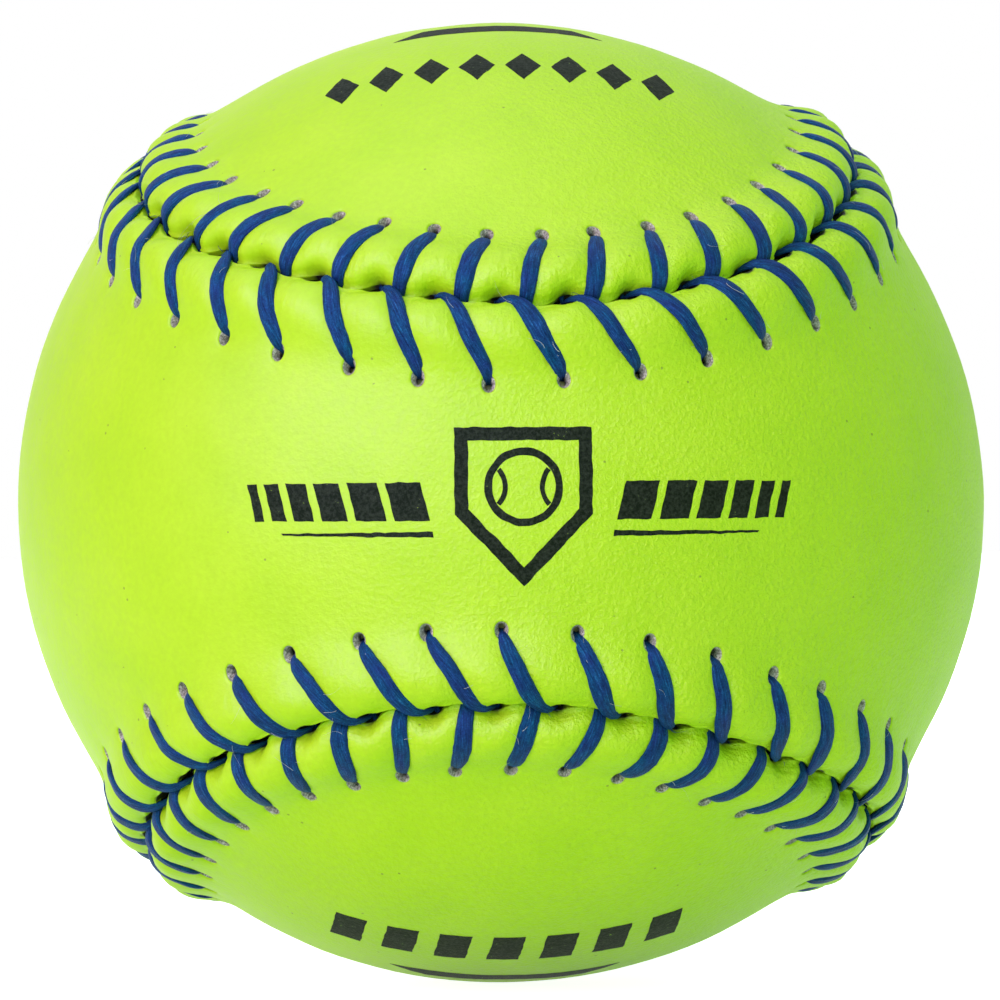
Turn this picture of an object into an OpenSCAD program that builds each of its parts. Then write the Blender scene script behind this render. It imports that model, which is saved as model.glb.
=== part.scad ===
// A softball of twelve inch size, taken apart as it is made: a moulded core, the film of cement
// on it, two equal figure-eight leather panels, and the two waxed threads that sew their edges.
// The origin is the centre of the ball. The waist of the front panel faces -Y and runs along X,
// and the waist of the rear panel faces +Y and runs along Z.

/* [Cover] */
// Radius of the smooth leather between the seams
ball_r = 48; // [42:0.5:58]
// Thickness of the leather
leather_t = 1.6; // [1.2:0.1:2.4]
// Height of the leather's crest over the smooth radius
crest_h = 2.2; // [1.7:0.1:3]
// Height of the leather's edge over the smooth radius, in the valley at the seam
valley_h = 1.3; // [0.9:0.1:1.6]
// Length over which the leather falls from the stitch holes to the smooth radius
fade_l = 3.4; // [2:0.1:5]

/* [Stitches] */
// Number of stitches round the seam
stitches = 88; // [80:4:104]
// Distance from the seam to the middle of the stitch holes
hole_row = 7.2; // [6.2:0.1:8.5]
// Room round the thread at each side of a stitch hole
hole_side_gap = 0.2; // [0.1:0.05:0.4]
// Room round the thread at each end of a stitch hole, which is drawn out towards the seam
hole_end_gap = 0.9; // [0.5:0.05:1.1]

/* [Thread] */
// Width of the flattened thread
thread_w = 1.8; // [1:0.1:2.2]
// Thickness of the flattened thread
thread_t = 0.6; // [0.4:0.05:0.8]
// Running clearance of the thread over and under the leather
thread_gap = 0.05; // [0.03:0.01:0.1]
// Room at each side of the thread where it dives between the leather edges
dive_gap = 0.15; // [0.05:0.01:0.2]

/* [Core] */
// Thickness of the cement film on the core
film_t = 0.3; // [0.2:0.05:0.6]
// Clearance between the film and the underside of the leather
cover_gap = 0.35; // [0.3:0.05:0.5]
// Clearance between the core and the film
core_gap = 0.05; // [0.02:0.01:0.1]

/* [Hidden] */
$fn = 96;

// The seam's closed curve: how far it swings in and out, and how deep it reaches front to back
seam_swing_share = 0.514;
seam_depth_share = 1.188;
// The stitch holes along the seam, in pitches: where they start, how they wander, and how far
// the rear row leads the front row
hole_start_share = 0.07;
hole_wander_share = 0.09;
rear_lead_share = 0.11;
// How far a leg of thread has run on along the seam at the crest and at the seam, in pitches
front_lean_shares = [0.34, 0.87];
rear_lean_shares = [0.2, 0.32];
// The place of the crest between seam and holes
crest_share = 0.46;
// The width of the thread in the hole, at the mouth, on the crest, at the valley and under it
width_shares = [0.6, 0.6, 1, 0.85, 0.75];
// The width of a hole at its two ends, and half the spacing of the points along the crest
hole_end_share = 0.55;
row_share = 0.25;

front = 1;
rear = -1;
film_r = ball_r - leather_t - cover_gap;
core_r = film_r - film_t;
seam_gap = thread_t + 2 * dive_gap;

// A straight run of hidden thread dips below its ends by this much on its way to a hole
dip = hole_row * hole_row / (8 * film_r);
under_r = film_r + thread_gap + dip + thread_t / 2;
hole_top_r = under_r + thread_t / 2 + thread_gap + leather_t;
crest_r = ball_r + crest_h;
valley_r = ball_r + valley_h;
crest_d = crest_share * hole_row;
hole_w = width_shares[0] * thread_w + 2 * hole_side_gap;
hole_l = thread_t + 2 * hole_end_gap;
reach = hole_row + hole_l / 2 + fade_l;

// Ribs across each panel: their pieces on the outer skin and on the underside
outer_pieces = 10;
under_pieces = 8;
thread_sides = 6;

// The seam

// Direction from the centre of the ball to the seam
function seam_at(a) =
    let (v = [-sin(a) - seam_swing_share * sin(3 * a),
              -seam_depth_share * cos(2 * a),
              cos(a) - seam_swing_share * cos(3 * a)])
    v / norm(v);

seam_steps = 720;
step_a = 360 / seam_steps;
function step_l(k) = norm(seam_at((k + 1) * step_a) - seam_at(k * step_a));
seam_run = [for (k = 0, run = 0; k <= seam_steps; run = run + step_l(k), k = k + 1) run];
seam_turns = seam_run[seam_steps];
angle_table = [for (k = [0 : seam_steps]) [seam_run[k] / seam_turns * stitches, k * step_a]];

// Angle of the seam's curve at s, which counts stitches round the ball
function angle_at(s) = lookup(s - stitches * floor(s / stitches), angle_table);

// At s: the direction out of the ball, along the seam, and across it into the front panel
function frame_at(s) =
    let (a = angle_at(s), out = seam_at(a))
    let (chord = seam_at(a + step_a) - seam_at(a - step_a))
    let (flat = chord - (chord * out) * out)
    let (along = flat / norm(flat))
    [out, along, cross(out, along)];

// A point at s, at distance d from the seam into the front panel, at radius r, and shifted
// sideways by w along the seam
function ball_point(s, d, r, w = 0) =
    let (f = frame_at(s), turn = d / ball_r * 180 / PI)
    r * (cos(turn) * f[0] + sin(turn) * f[2]) + w * f[1];

// Place of stitch hole i of a side, counted in stitches
function hole_s(i, side) =
    i + hole_start_share + hole_wander_share * cos(360 * i / stitches)
    + (side == rear ? rear_lead_share : 0);

// The leather panels

// Rows that run round a panel's edge with two points to a stitch, one at each side of its hole:
// [distance from the seam, radius, half width at the hole, half width in pitches]
lip_rows = [[seam_gap / 2, valley_r, 0, row_share],
            [crest_d, crest_r, 0, row_share]];
hole_rows = [[hole_row - hole_l / 2, hole_top_r, hole_end_share * hole_w / 2, 0],
             [hole_row, hole_top_r, hole_w / 2, 0],
             [hole_row + hole_l / 2, hole_top_r, hole_end_share * hole_w / 2, 0]];
top_rows = concat(lip_rows, hole_rows);
under_hole_rows = [for (row = hole_rows) [row[0], row[1] - leather_t, row[2], 0]];

function paired_row(side, row) =
    [for (i = [0 : stitches - 1]) for (e = [-1, 1])
        ball_point(hole_s(i, side) + e * row[3], side * row[0], row[1], e * row[2])];

// A row with one point to a stitch
function single_row(side, d, r) =
    [for (i = [0 : stitches - 1]) ball_point(hole_s(i, side), side * d, r)];

// Points inside the ribs that cross a panel from one edge to the other, both ends left out
function spread(u, v, share) =
    let (between = acos(u * v))
    (sin((1 - share) * between) * u + sin(share * between) * v) / sin(between);

function rib_points(edge, tip, pieces, r) =
    [for (j = [1 : stitches / 2 - 1])
        let (left = edge[(tip + stitches - j) % stitches], right = edge[(tip + j) % stitches])
        for (m = [1 : pieces - 1]) r * spread(left / norm(left), right / norm(right), m / pieces)];

// Faces, each given anticlockwise as seen from outside the front panel
function quad(a, b, c, d) = [[a, b, c], [a, c, d]];
function turned(faces) = [for (f = faces) [f[2], f[1], f[0]]];

// Between two rows of n points each, the second further from the seam
function ring_faces(low, high, n) =
    [for (k = [0 : n - 1]) each quad(low + k, low + (k + 1) % n, high + (k + 1) % n, high + k)];

// The same, but only between the holes
function gap_faces(low, high) =
    [for (i = [0 : stitches - 1])
        let (k = 2 * i + 1, next = (2 * i + 2) % (2 * stitches))
        each quad(low + k, low + next, high + next, high + k)];

// Between a row of single points below and a row of paired points above
function step_faces(single, paired) =
    [for (i = [0 : stitches - 1])
        let (c = single + i, d = single + (i + 1) % stitches)
        let (p = paired + 2 * i, q = paired + 2 * i + 1)
        let (r = paired + (2 * i + 2) % (2 * stitches))
        each [[c, q, p], [c, d, q], [d, r, q]]];

// The walls of the holes, from three outer rows to three rows of the underside
function hole_faces(outer, under) =
    [for (i = [0 : stitches - 1])
        let (n = 2 * stitches, k = 2 * i)
        let (rim = [k, k + 1, n + k + 1, 2 * n + k + 1, 2 * n + k, n + k])
        for (e = [0 : len(rim) - 1])
            let (a = rim[e], b = rim[(e + 1) % len(rim)])
            each quad(outer + a, outer + b, under + b, under + a)];

// Index of point m on rib j, where edge and inner are the first indices of the edge row and of
// the points inside the ribs. The first and the last rib are single points of the edge row.
function rib_index(edge, inner, tip, pieces, j, m) =
    j == 0 || m == 0 ? edge + (tip + stitches - j) % stitches
    : j == stitches / 2 || m == pieces ? edge + (tip + j) % stitches
    : inner + (j - 1) * (pieces - 1) + m - 1;

function rib_faces(edge, inner, tip, pieces) =
    [for (j = [0 : stitches / 2 - 1]) for (m = [0 : pieces - 1])
        let (a = rib_index(edge, inner, tip, pieces, j, m))
        let (b = rib_index(edge, inner, tip, pieces, j, m + 1))
        let (c = rib_index(edge, inner, tip, pieces, j + 1, m + 1))
        let (d = rib_index(edge, inner, tip, pieces, j + 1, m))
        each [if (a != b) [a, b, c], if (c != d) [a, c, d]]];

// tip is the stitch at the end of one lobe, where the ribs start
module panel(side, tip) {
    pair_n = 2 * stitches;
    rib_n = stitches / 2 - 1;
    top = [for (row = top_rows) each paired_row(side, row)];
    top_edge = single_row(side, reach, ball_r);
    top_ribs = rib_points(top_edge, tip, outer_pieces, ball_r);
    low_lip = single_row(side, seam_gap / 2, valley_r - leather_t);
    low_crest = single_row(side, crest_d, crest_r - leather_t);
    low_holes = [for (row = under_hole_rows) each paired_row(side, row)];
    low_edge = single_row(side, reach, ball_r - leather_t);
    low_ribs = rib_points(low_edge, tip, under_pieces, ball_r - leather_t);

    holes_i = 2 * pair_n;
    edge_i = len(top_rows) * pair_n;
    ribs_i = edge_i + stitches;
    lip_i = ribs_i + rib_n * (outer_pieces - 1);
    crest_i = lip_i + stitches;
    low_holes_i = crest_i + stitches;
    low_edge_i = low_holes_i + len(under_hole_rows) * pair_n;
    low_ribs_i = low_edge_i + stitches;

    outer_skin = concat(
        ring_faces(0, pair_n, pair_n),
        ring_faces(pair_n, holes_i, pair_n),
        gap_faces(holes_i, holes_i + pair_n),
        gap_faces(holes_i + pair_n, holes_i + 2 * pair_n),
        turned(step_faces(edge_i, holes_i + 2 * pair_n)),
        rib_faces(edge_i, ribs_i, tip, outer_pieces));
    underside = concat(
        ring_faces(lip_i, crest_i, stitches),
        step_faces(crest_i, low_holes_i),
        gap_faces(low_holes_i, low_holes_i + pair_n),
        gap_faces(low_holes_i + pair_n, low_holes_i + 2 * pair_n),
        turned(step_faces(low_edge_i, low_holes_i + 2 * pair_n)),
        rib_faces(low_edge_i, low_ribs_i, tip, under_pieces));
    faces = concat(outer_skin, turned(underside), step_faces(lip_i, 0),
                   hole_faces(holes_i, low_holes_i));
    points = concat(top, top_edge, top_ribs, low_lip, low_crest, low_holes, low_edge, low_ribs);
    polyhedron(points, side == front ? turned(faces) : faces);
}

module front_panel() {
    color("#a8e61e") panel(front, stitches / 4);
}

module rear_panel() {
    color("#a2e01a") panel(rear, 0);
}

// The threads

// A leg comes up through its hole, crosses the crest, dives between the leather edges and
// runs under the other panel to the next hole. Each stop is [s, distance, radius, width].
function leg_stops(i, side) =
    let (s = hole_s(i, side), lean = side == front ? front_lean_shares : rear_lean_shares)
    let (mouth_d = hole_row - hole_l / 2 + thread_t)
    let (over = thread_gap + thread_t / 2)
    [[s, side * mouth_d, under_r, width_shares[0]],
     [s, side * mouth_d, hole_top_r + over, width_shares[1]],
     [s + lean[0], side * crest_d, crest_r + 2 * over, width_shares[2]],
     [s + lean[1], 0, valley_r + 2 * over, width_shares[3]],
     [s + lean[1], 0, under_r, width_shares[4]]];

function unit(v) = v / norm(v);

// One ring of the tube: flat along the seam, and mitred where the route turns
function thread_ring(before, here, after, along, width) =
    let (u = unit(here - before), v = unit(after - here), t = unit(u + v))
    let (flat = unit(along - (along * t) * t))
    let (thin = cross(t, flat) * 2 / norm(u + v))
    [for (e = [0 : thread_sides - 1])
        let (turn = 360 * e / thread_sides)
        here + width / 2 * cos(turn) * flat + thread_t / 2 * sin(turn) * thin];

module thread(start_side) {
    stops = [for (i = [0 : stitches - 1]) each leg_stops(i, i % 2 == 0 ? start_side : -start_side)];
    n = len(stops);
    route = [for (p = stops) ball_point(p[0], p[1], p[2])];
    points = [for (k = [0 : n - 1]) each thread_ring(
        route[(k + n - 1) % n], route[k], route[(k + 1) % n],
        frame_at(stops[k][0])[1], thread_w * stops[k][3])];
    faces = [for (k = [0 : n - 1]) for (e = [0 : thread_sides - 1])
        let (f = (e + 1) % thread_sides, next = (k + 1) % n)
        each quad(k * thread_sides + e, k * thread_sides + f,
                  next * thread_sides + f, next * thread_sides + e)];
    run = [for (k = 0, l = 0; k < n; l = l + norm(route[(k + 1) % n] - route[k]), k = k + 1) l];
    echo(thread_length = run[n - 1]);
    polyhedron(points, turned(faces));
}

module first_thread() {
    color("#1f3f93") thread(front);
}

module second_thread() {
    color("#2a4fa6") thread(rear);
}

// The core and the cement

module cement_film() {
    color("#e9dfae") difference() {
        sphere(r = film_r);
        sphere(r = core_r);
    }
}

module core() {
    color("#f0e9d8") sphere(r = core_r - core_gap);
}

core();
cement_film();
front_panel();
rear_panel();
first_thread();
second_thread();
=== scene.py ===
import math

import bpy
import numpy as np
from mathutils import Matrix, Vector
from mathutils.bvhtree import BVHTree


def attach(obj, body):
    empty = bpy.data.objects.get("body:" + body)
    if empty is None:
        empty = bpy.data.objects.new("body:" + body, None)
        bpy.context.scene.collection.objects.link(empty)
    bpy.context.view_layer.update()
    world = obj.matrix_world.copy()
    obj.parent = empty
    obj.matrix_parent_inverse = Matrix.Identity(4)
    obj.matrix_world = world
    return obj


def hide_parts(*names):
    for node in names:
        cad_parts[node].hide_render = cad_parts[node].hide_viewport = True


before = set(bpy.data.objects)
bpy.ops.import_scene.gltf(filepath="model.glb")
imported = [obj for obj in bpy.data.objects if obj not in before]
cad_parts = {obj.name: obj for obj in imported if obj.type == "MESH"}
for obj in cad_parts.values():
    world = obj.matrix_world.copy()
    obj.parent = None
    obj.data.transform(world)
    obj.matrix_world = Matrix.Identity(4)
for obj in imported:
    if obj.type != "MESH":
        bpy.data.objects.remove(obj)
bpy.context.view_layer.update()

# Lengths below are in millimetres and become metres when a mesh is made
MM = 0.001
FRONT = 1
REAR = -1
SIDES = (FRONT, REAR)

# The ball and its seam, as in the CAD model
BALL_R = 48.0
STITCHES = 88
SEAM_SWING = 0.514
SEAM_DEPTH = 1.188
HOLE_START = 0.07
HOLE_WANDER = 0.09
REAR_LEAD = 0.11

random = np.random.default_rng(20)


def normalised(v):
    return v / np.linalg.norm(v, axis=-1, keepdims=True)


# The seam curve

def seam_direction(a):
    v = np.stack([-np.sin(a) - SEAM_SWING * np.sin(3 * a),
                  -SEAM_DEPTH * np.cos(2 * a),
                  np.cos(a) - SEAM_SWING * np.cos(3 * a)], axis=-1)
    return normalised(v)


SEAM_ANGLES = np.linspace(0, 2 * np.pi, 7201)
SEAM_STEPS = np.linalg.norm(np.diff(seam_direction(SEAM_ANGLES), axis=0), axis=1)
SEAM_RUN = np.concatenate([[0.0], np.cumsum(SEAM_STEPS)])
PITCH = SEAM_RUN[-1] * BALL_R / STITCHES
SEAM_RUN = SEAM_RUN / SEAM_RUN[-1] * STITCHES
ANGLE_STEP = SEAM_ANGLES[1]
LAY_R = STITCHES * PITCH / (2 * np.pi)


def seam_frame(s):
    """Out of the ball, along the seam and across it into the front panel, at s stitches."""
    a = np.interp(np.mod(s, STITCHES), SEAM_RUN, SEAM_ANGLES)
    out = seam_direction(a)
    chord = seam_direction(a + ANGLE_STEP) - seam_direction(a - ANGLE_STEP)
    along = normalised(chord - (chord * out).sum(-1, keepdims=True) * out)
    return out, along, np.cross(out, along)


def place(s, d, r):
    """A point at s stitches along the seam, d into the front panel, at radius r."""
    s, d, r = np.broadcast_arrays(s, d, r)
    out, along, across = seam_frame(s)
    turn = (d / BALL_R)[..., None]
    return r[..., None] * (np.cos(turn) * out + np.sin(turn) * across)


def swells(s, *bumps):
    """The sum of smooth bumps of (middle, height, half width) in stitches along the seam."""
    s = np.asarray(s, float)
    total = np.zeros_like(s)
    for middle, height, width in bumps:
        away = np.mod(s - middle + STITCHES / 2, STITCHES) - STITCHES / 2
        total += height * np.exp(-(away / width) ** 2)
    return total


# The seam of a hand-sewn ball strays from its curve: towards the front panel where positive
SEAM_STRAYS = ((2.3, -0.45, 2.2), (-3.5, 0.3, 3.0), (7.0, 0.5, 1.6), (-9.5, -0.45, 1.8),
               (3.5, -0.25, 3.5), (33.0, -1.2, 1.8), (77.0, -0.7, 1.8),
               (48.0, -0.85, 2.2), (52.5, 0.5, 1.5), (36.0, -0.3, 2.5), (41.0, -0.12, 3.0),
               (17.0, 0.4, 2.6), (24.0, -0.35, 2.0), (62.0, 0.45, 2.4), (70.0, -0.4, 2.8))
STRAY_FADE = 11.0


def sewn(s, d, r):
    """A point as place gives it, on the seam as sewn."""
    return place(s, d + swells(s, *SEAM_STRAYS) * np.exp(-(d / STRAY_FADE) ** 4), r)


def crowding(s, d):
    """Length along a row at distance d from the seam, as a share of the seam's own length."""
    step = 0.05
    ends = place(s + step, d, 1.0) - place(s - step, d, 1.0)
    return np.linalg.norm(ends, axis=-1) * BALL_R / (2 * step * PITCH)


class Waves:
    """Smooth random waves in space, for the unevenness of leather."""

    def __init__(self, wavelength, height, count=24):
        self.k = normalised(random.normal(size=(count, 3))) * 2 * np.pi / wavelength
        self.k *= random.uniform(0.6, 1.4, size=(count, 1))
        self.phase = random.uniform(0, 2 * np.pi, count)
        self.height = height / math.sqrt(count / 2)

    def __call__(self, p):
        return self.height * np.cos(p @ self.k.T + self.phase).sum(-1)


broad_waves = Waves(34.0, 0.05)
small_waves = Waves(7.0, 0.016)
ridge_waves = Waves(4.5, 0.07)
# Broad flats and fullnesses: direction, height and how wide
SWELLINGS = (((-0.1, -0.3, 0.95), -0.33, 0.3), ((0.85, -0.2, -0.5), 0.3, 0.2))


def unevenness(direction):
    p = direction * BALL_R
    height = broad_waves(p) + small_waves(p)
    for middle, rise, spread in SWELLINGS:
        away = 1 - direction @ normalised(np.array(middle))
        height = height + rise * np.exp(-(away / spread) ** 2)
    return height


# Where the stitches lie. Each leg's line runs from its hole to where it dives at the seam:
# how far it has run on along the seam, in stitches, at each distance from the seam.
HOLE_ROW = 7.25
HOLE_STRAYS = {
    FRONT: ((0.5, 0.4, 1.6), (-3.5, -0.15, 2.0), (40.0, -0.2, 4.0), (47.0, -0.2, 3.0)),
    REAR: ((1.5, 0.45, 4.0), (-3.5, -0.15, 2.0), (40.0, -0.2, 4.0), (47.0, -0.2, 3.0)),
}
LEG_LINES = {
    FRONT: ((0.0, 7.2), (0.035, 6.4), (0.13, 5.3), (0.25, 4.0), (0.35, 2.7), (0.46, 1.3),
            (0.58, 0.3), (0.67, -0.1), (0.76, -0.35), (0.84, -0.55), (0.9, -0.75)),
    REAR: ((0.0, 7.2), (0.03, 6.4), (0.14, 5.0), (0.22, 3.6), (0.27, 2.4), (0.31, 1.2),
           (0.35, 0.25), (0.37, -0.1), (0.40, -0.5)),
}
hole_index = np.arange(STITCHES)


def jitter(spread, most=2.0):
    return spread * np.clip(random.normal(size=STITCHES), -most, most)


class Stitching:
    """One side's holes and legs, each a little different from the next."""

    def __init__(self, side):
        lead = REAR_LEAD if side == REAR else 0.0
        wander = HOLE_WANDER * np.cos(2 * np.pi * hole_index / STITCHES)
        self.s = hole_index + HOLE_START + wander + lead + jitter(0.022)
        self.d = HOLE_ROW + swells(self.s, *HOLE_STRAYS[side]) + jitter(0.09)
        self.lean = 1 + jitter(0.06)
        self.bow = jitter(0.022)
        self.width = 1 + jitter(0.05)
        line = np.array(LEG_LINES[side])
        self.line_run, self.line_d = line[:, 0], line[:, 1]

    def leg_s(self, i, d):
        """Where the middle of leg i lies at distance d from the seam."""
        turns = np.floor_divide(i, STITCHES)
        i = np.mod(i, STITCHES)
        run = np.interp(-d, -self.line_d, self.line_run)
        bow = self.bow[i] * np.sin(np.pi * np.clip(d / HOLE_ROW, 0, 1))
        return self.s[i] + turns * STITCHES + run * self.lean[i] + bow

    def nearest_leg(self, s, d):
        """Distance across to the nearest leg, as a share of half the room between legs, and
        that room in stitches."""
        run = np.interp(-d, -self.line_d, self.line_run)
        first = np.floor(s - run - self.s[0] - 0.5).astype(int)
        gap = s - np.stack([self.leg_s(first + k, d) for k in range(-1, 4)])
        below = np.where(gap >= 0, gap, np.inf).min(0)
        above = np.where(gap < 0, -gap, np.inf).min(0)
        room = below + above
        return np.minimum(below, above) / (room / 2), room


stitching = {side: Stitching(side) for side in SIDES}

# Height of the leather over the smooth ball at the crowns between the legs, by distance from
# the seam, and how far a leg draws the leather in below those crowns. The front panel's edge
# stands over the rear panel's.
CROWN_EDGE = {
    FRONT: ((0.0, 1.25), (0.3, 1.5), (0.7, 1.85), (1.2, 2.22)),
    REAR: ((0.0, -0.1), (0.3, 0.8), (0.7, 1.65), (1.2, 2.2)),
}
CROWN_REST = ((2.0, 2.62), (3.0, 2.75), (4.0, 2.5), (5.0, 1.94), (6.0, 1.22), (7.0, 0.68),
              (8.2, 0.34), (9.8, 0.12), (11.5, 0.02), (13.0, 0.0), (100.0, 0.0))
CROWN = {side: np.array(edge + CROWN_REST) for side, edge in CROWN_EDGE.items()}
RIDGE_SWELLS = ((10.3, -0.28, 2.2), (77.5, -0.12, 2.0), (33.5, -0.06, 2.0), (54.5, -0.12, 1.6))
DRAWN_IN = np.array(((0.0, 0.2), (0.8, 0.5), (1.6, 0.8), (3.0, 1.02), (4.4, 1.0), (5.6, 0.72),
                     (6.6, 0.42), (7.5, 0.2), (9.0, 0.06), (11.0, 0.0), (100.0, 0.0)))
# How sharply the puffs fall to a leg, how rounded the crease is, and how much more the leather
# is drawn in where the legs stand wider apart
LOAF = 2.3
CREASE_ROUND = 0.012
ROOM_SHARE = 0.45
# The least distance from the seam at which a leg's place counts
NEAR_SEAM = 0.3
RIDGE_WAVE_FADE = 6.0
# A front leg dives past the meeting line, and presses a pit into both panels there
DIVE_D = -0.45
PIT_DEPTH = {FRONT: 0.4, REAR: 1.2}
PIT_PAST = 0.08
PIT_HALF_S = 0.17
PIT_HALF_D = {FRONT: 0.6, REAR: 0.7}
# Painted shade in the pits where the front legs dive: how far it lowers a point's lay distance, and its
# half sizes along and across the seam
PAINTED_PIT_SHADE = 6.0
PAINTED_PIT_SHADE_HALF_S = 0.12
PAINTED_PIT_SHADE_HALF_D = 0.5


def smooth_lookup(d, table):
    """A lookup in a table of distances and values, rounded by averaging nearby distances."""
    spread = 0.3
    return sum(np.interp(np.abs(d + k * spread), table[:, 0], table[:, 1])
               for k in (-1, -0.5, 0, 0.5, 1)) / 5


dive_index = np.arange(-1, STITCHES + 1)
dives = stitching[FRONT].leg_s(dive_index, DIVE_D)


def past_dive(s):
    """How far s is past the last front leg's dive, as a share of the way to the next."""
    return np.mod(np.interp(np.mod(s, STITCHES), dives, dive_index), 1.0)


def from_pit(s):
    """How far s is from the nearest pit, in stitches."""
    t = np.mod(past_dive(s) - PIT_PAST, 1.0)
    return np.minimum(t, 1 - t)


def leather_height(side, s, d):
    """Height of a panel's outer skin over the smooth ball, d into that panel."""
    crown = smooth_lookup(d, CROWN[side]) * (1 + swells(s, *RIDGE_SWELLS))
    away = from_pit(s) / PIT_HALF_S
    crown = crown - PIT_DEPTH[side] * np.exp(-away ** 2 - (d / PIT_HALF_D[side]) ** 2)
    share, room = stitching[side].nearest_leg(s, np.clip(d, NEAR_SEAM, HOLE_ROW))
    share = np.sqrt(share ** 2 + CREASE_ROUND)
    dip = np.clip(1 - share, 0, 1) ** LOAF * (1 + ROOM_SHARE * (room - 1))
    direction = place(s, side * d, 1.0)
    waves = ridge_waves(direction * BALL_R) * np.exp(-(d / RIDGE_WAVE_FADE) ** 4)
    return crown - smooth_lookup(d, DRAWN_IN) * dip + waves + unevenness(direction)


# The line where the panels meet swings to the rear where each front leg dives, and gapes there.
# The skin follows the swing and the gape less and less, over these distances from the seam.
MEET_SWING = 0.36
SWING_FADE = 2.6
GAPE = (0.02, 0.11)
GAPE_FADE = 0.5
DIVE_GAPE = 0.58
GAPE_HALF_S = 0.18
knots = np.arange(STITCHES + 1)
meet_size = np.append(1 + jitter(0.25), 1.0)
meet_wave = np.append(jitter(0.05), 0.0)
meet_size[0], meet_wave[0] = 1.0, 0.0
meet_gape = np.append(random.uniform(*GAPE, STITCHES), GAPE[0])
meet_gape[0] = GAPE[0]


def meeting(s):
    """How far the meeting line lies towards the front panel, and half the gap there."""
    t = past_dive(s)
    size = np.interp(np.mod(s, STITCHES), knots, meet_size)
    wave = np.interp(np.mod(s, STITCHES), knots, meet_wave)
    swing = -MEET_SWING * size * np.cos(2 * np.pi * t) + wave
    gape = np.interp(np.mod(s, STITCHES), knots, meet_gape)
    gape = gape + DIVE_GAPE * size * np.exp(-(from_pit(s) / GAPE_HALF_S) ** 2)
    return swing, gape


def skin_point(side, s, d, height):
    """A point of a panel, d from the meeting line into that panel."""
    swing, gape = meeting(s)
    shift = swing * np.exp(-(d / SWING_FADE) ** 2)
    return sewn(s, side * (d + gape * np.exp(-d / GAPE_FADE)) + shift, BALL_R + height)


# Meshes

class Net:
    """Points and faces that grow into one mesh."""

    def __init__(self):
        self.points = []
        self.lays = []
        self.faces = []
        self.slots = []
        self.count = 0

    def add(self, points, lay=None):
        """Adds an array of points of any shape and returns their indices in that shape."""
        flat = np.asarray(points, float).reshape(-1, 3)
        lay = np.zeros_like(flat) if lay is None else np.asarray(lay, float).reshape(-1, 3)
        self.points.append(flat)
        self.lays.append(lay)
        index = np.arange(len(flat)).reshape(np.shape(points)[:-1]) + self.count
        self.count += len(flat)
        return index

    def quads(self, a, b, c, d, slot=0):
        faces = np.stack([np.ravel(v) for v in (a, b, c, d)], axis=1)
        self.faces.append(faces)
        self.slots.append(np.full(len(faces), slot))

    def bridge(self, low, high, slot=0):
        """Faces between two closed rows of indices that run the same way."""
        self.quads(low, np.roll(low, -1, axis=-1), np.roll(high, -1, axis=-1), high, slot)

    def sheet(self, grid, slot=0):
        """Faces over a grid of indices."""
        self.quads(grid[:-1, :-1], grid[1:, :-1], grid[1:, 1:], grid[:-1, 1:], slot)

    def mesh(self, name, flipped=False):
        faces = np.concatenate(self.faces)
        slots = np.concatenate(self.slots)
        if flipped:
            faces = faces[:, ::-1]
        corners = [list(dict.fromkeys(face)) for face in faces.tolist()]
        keep = [n for n, face in enumerate(corners) if len(face) > 2]
        mesh = bpy.data.meshes.new(name)
        points = np.concatenate(self.points) * MM
        mesh.from_pydata(points.tolist(), [], [corners[n] for n in keep])
        mesh.polygons.foreach_set("material_index", slots[keep].astype(np.int32))
        mesh.polygons.foreach_set("use_smooth", np.ones(len(keep), bool))
        lay = mesh.attributes.new("lay", "FLOAT_VECTOR", "POINT")
        lay.data.foreach_set("vector", np.concatenate(self.lays).ravel().astype(np.float32))
        mesh.update()
        return mesh


def new_object(name, mesh, *materials):
    obj = bpy.data.objects.new(name, mesh)
    bpy.context.scene.collection.objects.link(obj)
    for material in materials:
        mesh.materials.append(material)
    return obj


# A panel: columns stand along the seam, rows run from the meeting line inwards
COLUMNS = 14
LIP_ROWS = ((0.0, 1.9), (0.0, 1.3), (0.0, 0.75), (0.02, 0.26), (0.07, 0.09), (0.16, 0.02))
NEAR_ROWS = (0.35, 0.58, 0.85, 1.2, 1.6, 2.05, 2.55, 3.05, 3.55, 4.05, 4.55, 5.05, 5.5)
HOLE_BAND = (5.5, 8.85)
HOLE_SIDE_ROWS = 6
FAR_ROWS = (8.85, 9.4, 10.1, 11.0, 12.2, 14.0)
RIB_PIECES = 26
UNDER_PIECES = 8
UNDER_ROWS = (("crest", 3.0, 2.4), ("near", 5.5, 1.7), ("far", 8.85, 1.7), ("edge", 14.0, 1.7))
# A hole's half width, and its reach away from the seam and towards it
HOLE_HALF_W = 0.64
HOLE_FAR = 0.74
HOLE_NEAR = 0.86
# Rings from the skin into a hole: how far out from the rim, and how deep
BAND_RINGS = 4
RIM_RINGS = ((0.3, 0.0), (0.16, 0.015), (0.06, 0.06), (0.0, 0.17))
WALL_RINGS = ((-0.08, 0.3), (-0.2, 0.5), (-0.3, 0.8), (-0.34, 1.6))
WALL_ROUGH = 0.035
# The distance from the seam that the middle of a panel gives its material
MIDDLE_D = 20.0


def lay_of(s, d):
    """Where a point lies on the seam, bent into a ring, and how far from it. That distance
    falls below 0 in the pits, where the leather is painted near black as shade."""
    s, d = np.broadcast_arrays(s, d)
    turn = 2 * np.pi * s / STITCHES
    painted_shade = PAINTED_PIT_SHADE * np.exp(-(from_pit(s) / PAINTED_PIT_SHADE_HALF_S) ** 2 - (d / PAINTED_PIT_SHADE_HALF_D) ** 2)
    return np.stack([LAY_R * np.cos(turn), LAY_R * np.sin(turn), d - painted_shade], axis=-1)


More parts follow.
